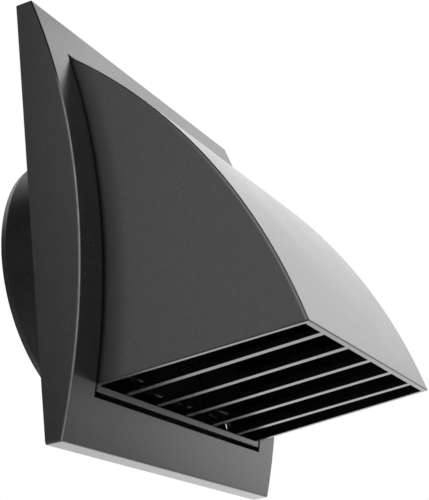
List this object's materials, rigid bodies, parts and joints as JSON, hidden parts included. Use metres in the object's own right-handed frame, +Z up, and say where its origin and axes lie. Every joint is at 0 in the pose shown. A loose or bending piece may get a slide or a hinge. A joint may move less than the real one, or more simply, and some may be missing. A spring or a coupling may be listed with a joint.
{
  "type": "dryer vent cap",
  "caption": "Wall cap for a 100 mm dryer duct: square bowed face frame, projecting hood with a barred opening below, and a hanging backdraft flap.",
  "frame": {"origin": "on the duct's axis in the plane of the wall, which is also the centre of the four screw holes", "axes": "+Y into the wall along the duct, +Z up, +X to the right as seen from outside"},
  "size_m": [0.15, 0.1104, 0.15],
  "materials": {
    "casing_plastic": "satin, fine spark-eroded grain",
    "base_plastic": "satin, plain mould surface",
    "flap_plastic": "satin",
    "pin_steel": "drawn wire"
  },
  "bodies": {
    "casing": {"face_frame": "casing_plastic", "hood": "casing_plastic", "base_plate": "base_plastic", "flap_hinge_pin": "pin_steel"},
    "flap": {"backdraft_flap": "flap_plastic"}
  },
  "joints": [
    {"name": "flap_swing", "type": "hinge", "parent": "casing", "child": "flap", "pos_m": [0, -0.0056, 0.0523], "axis": [-1, 0, 0], "range_deg": [0, 36]}
  ]
}
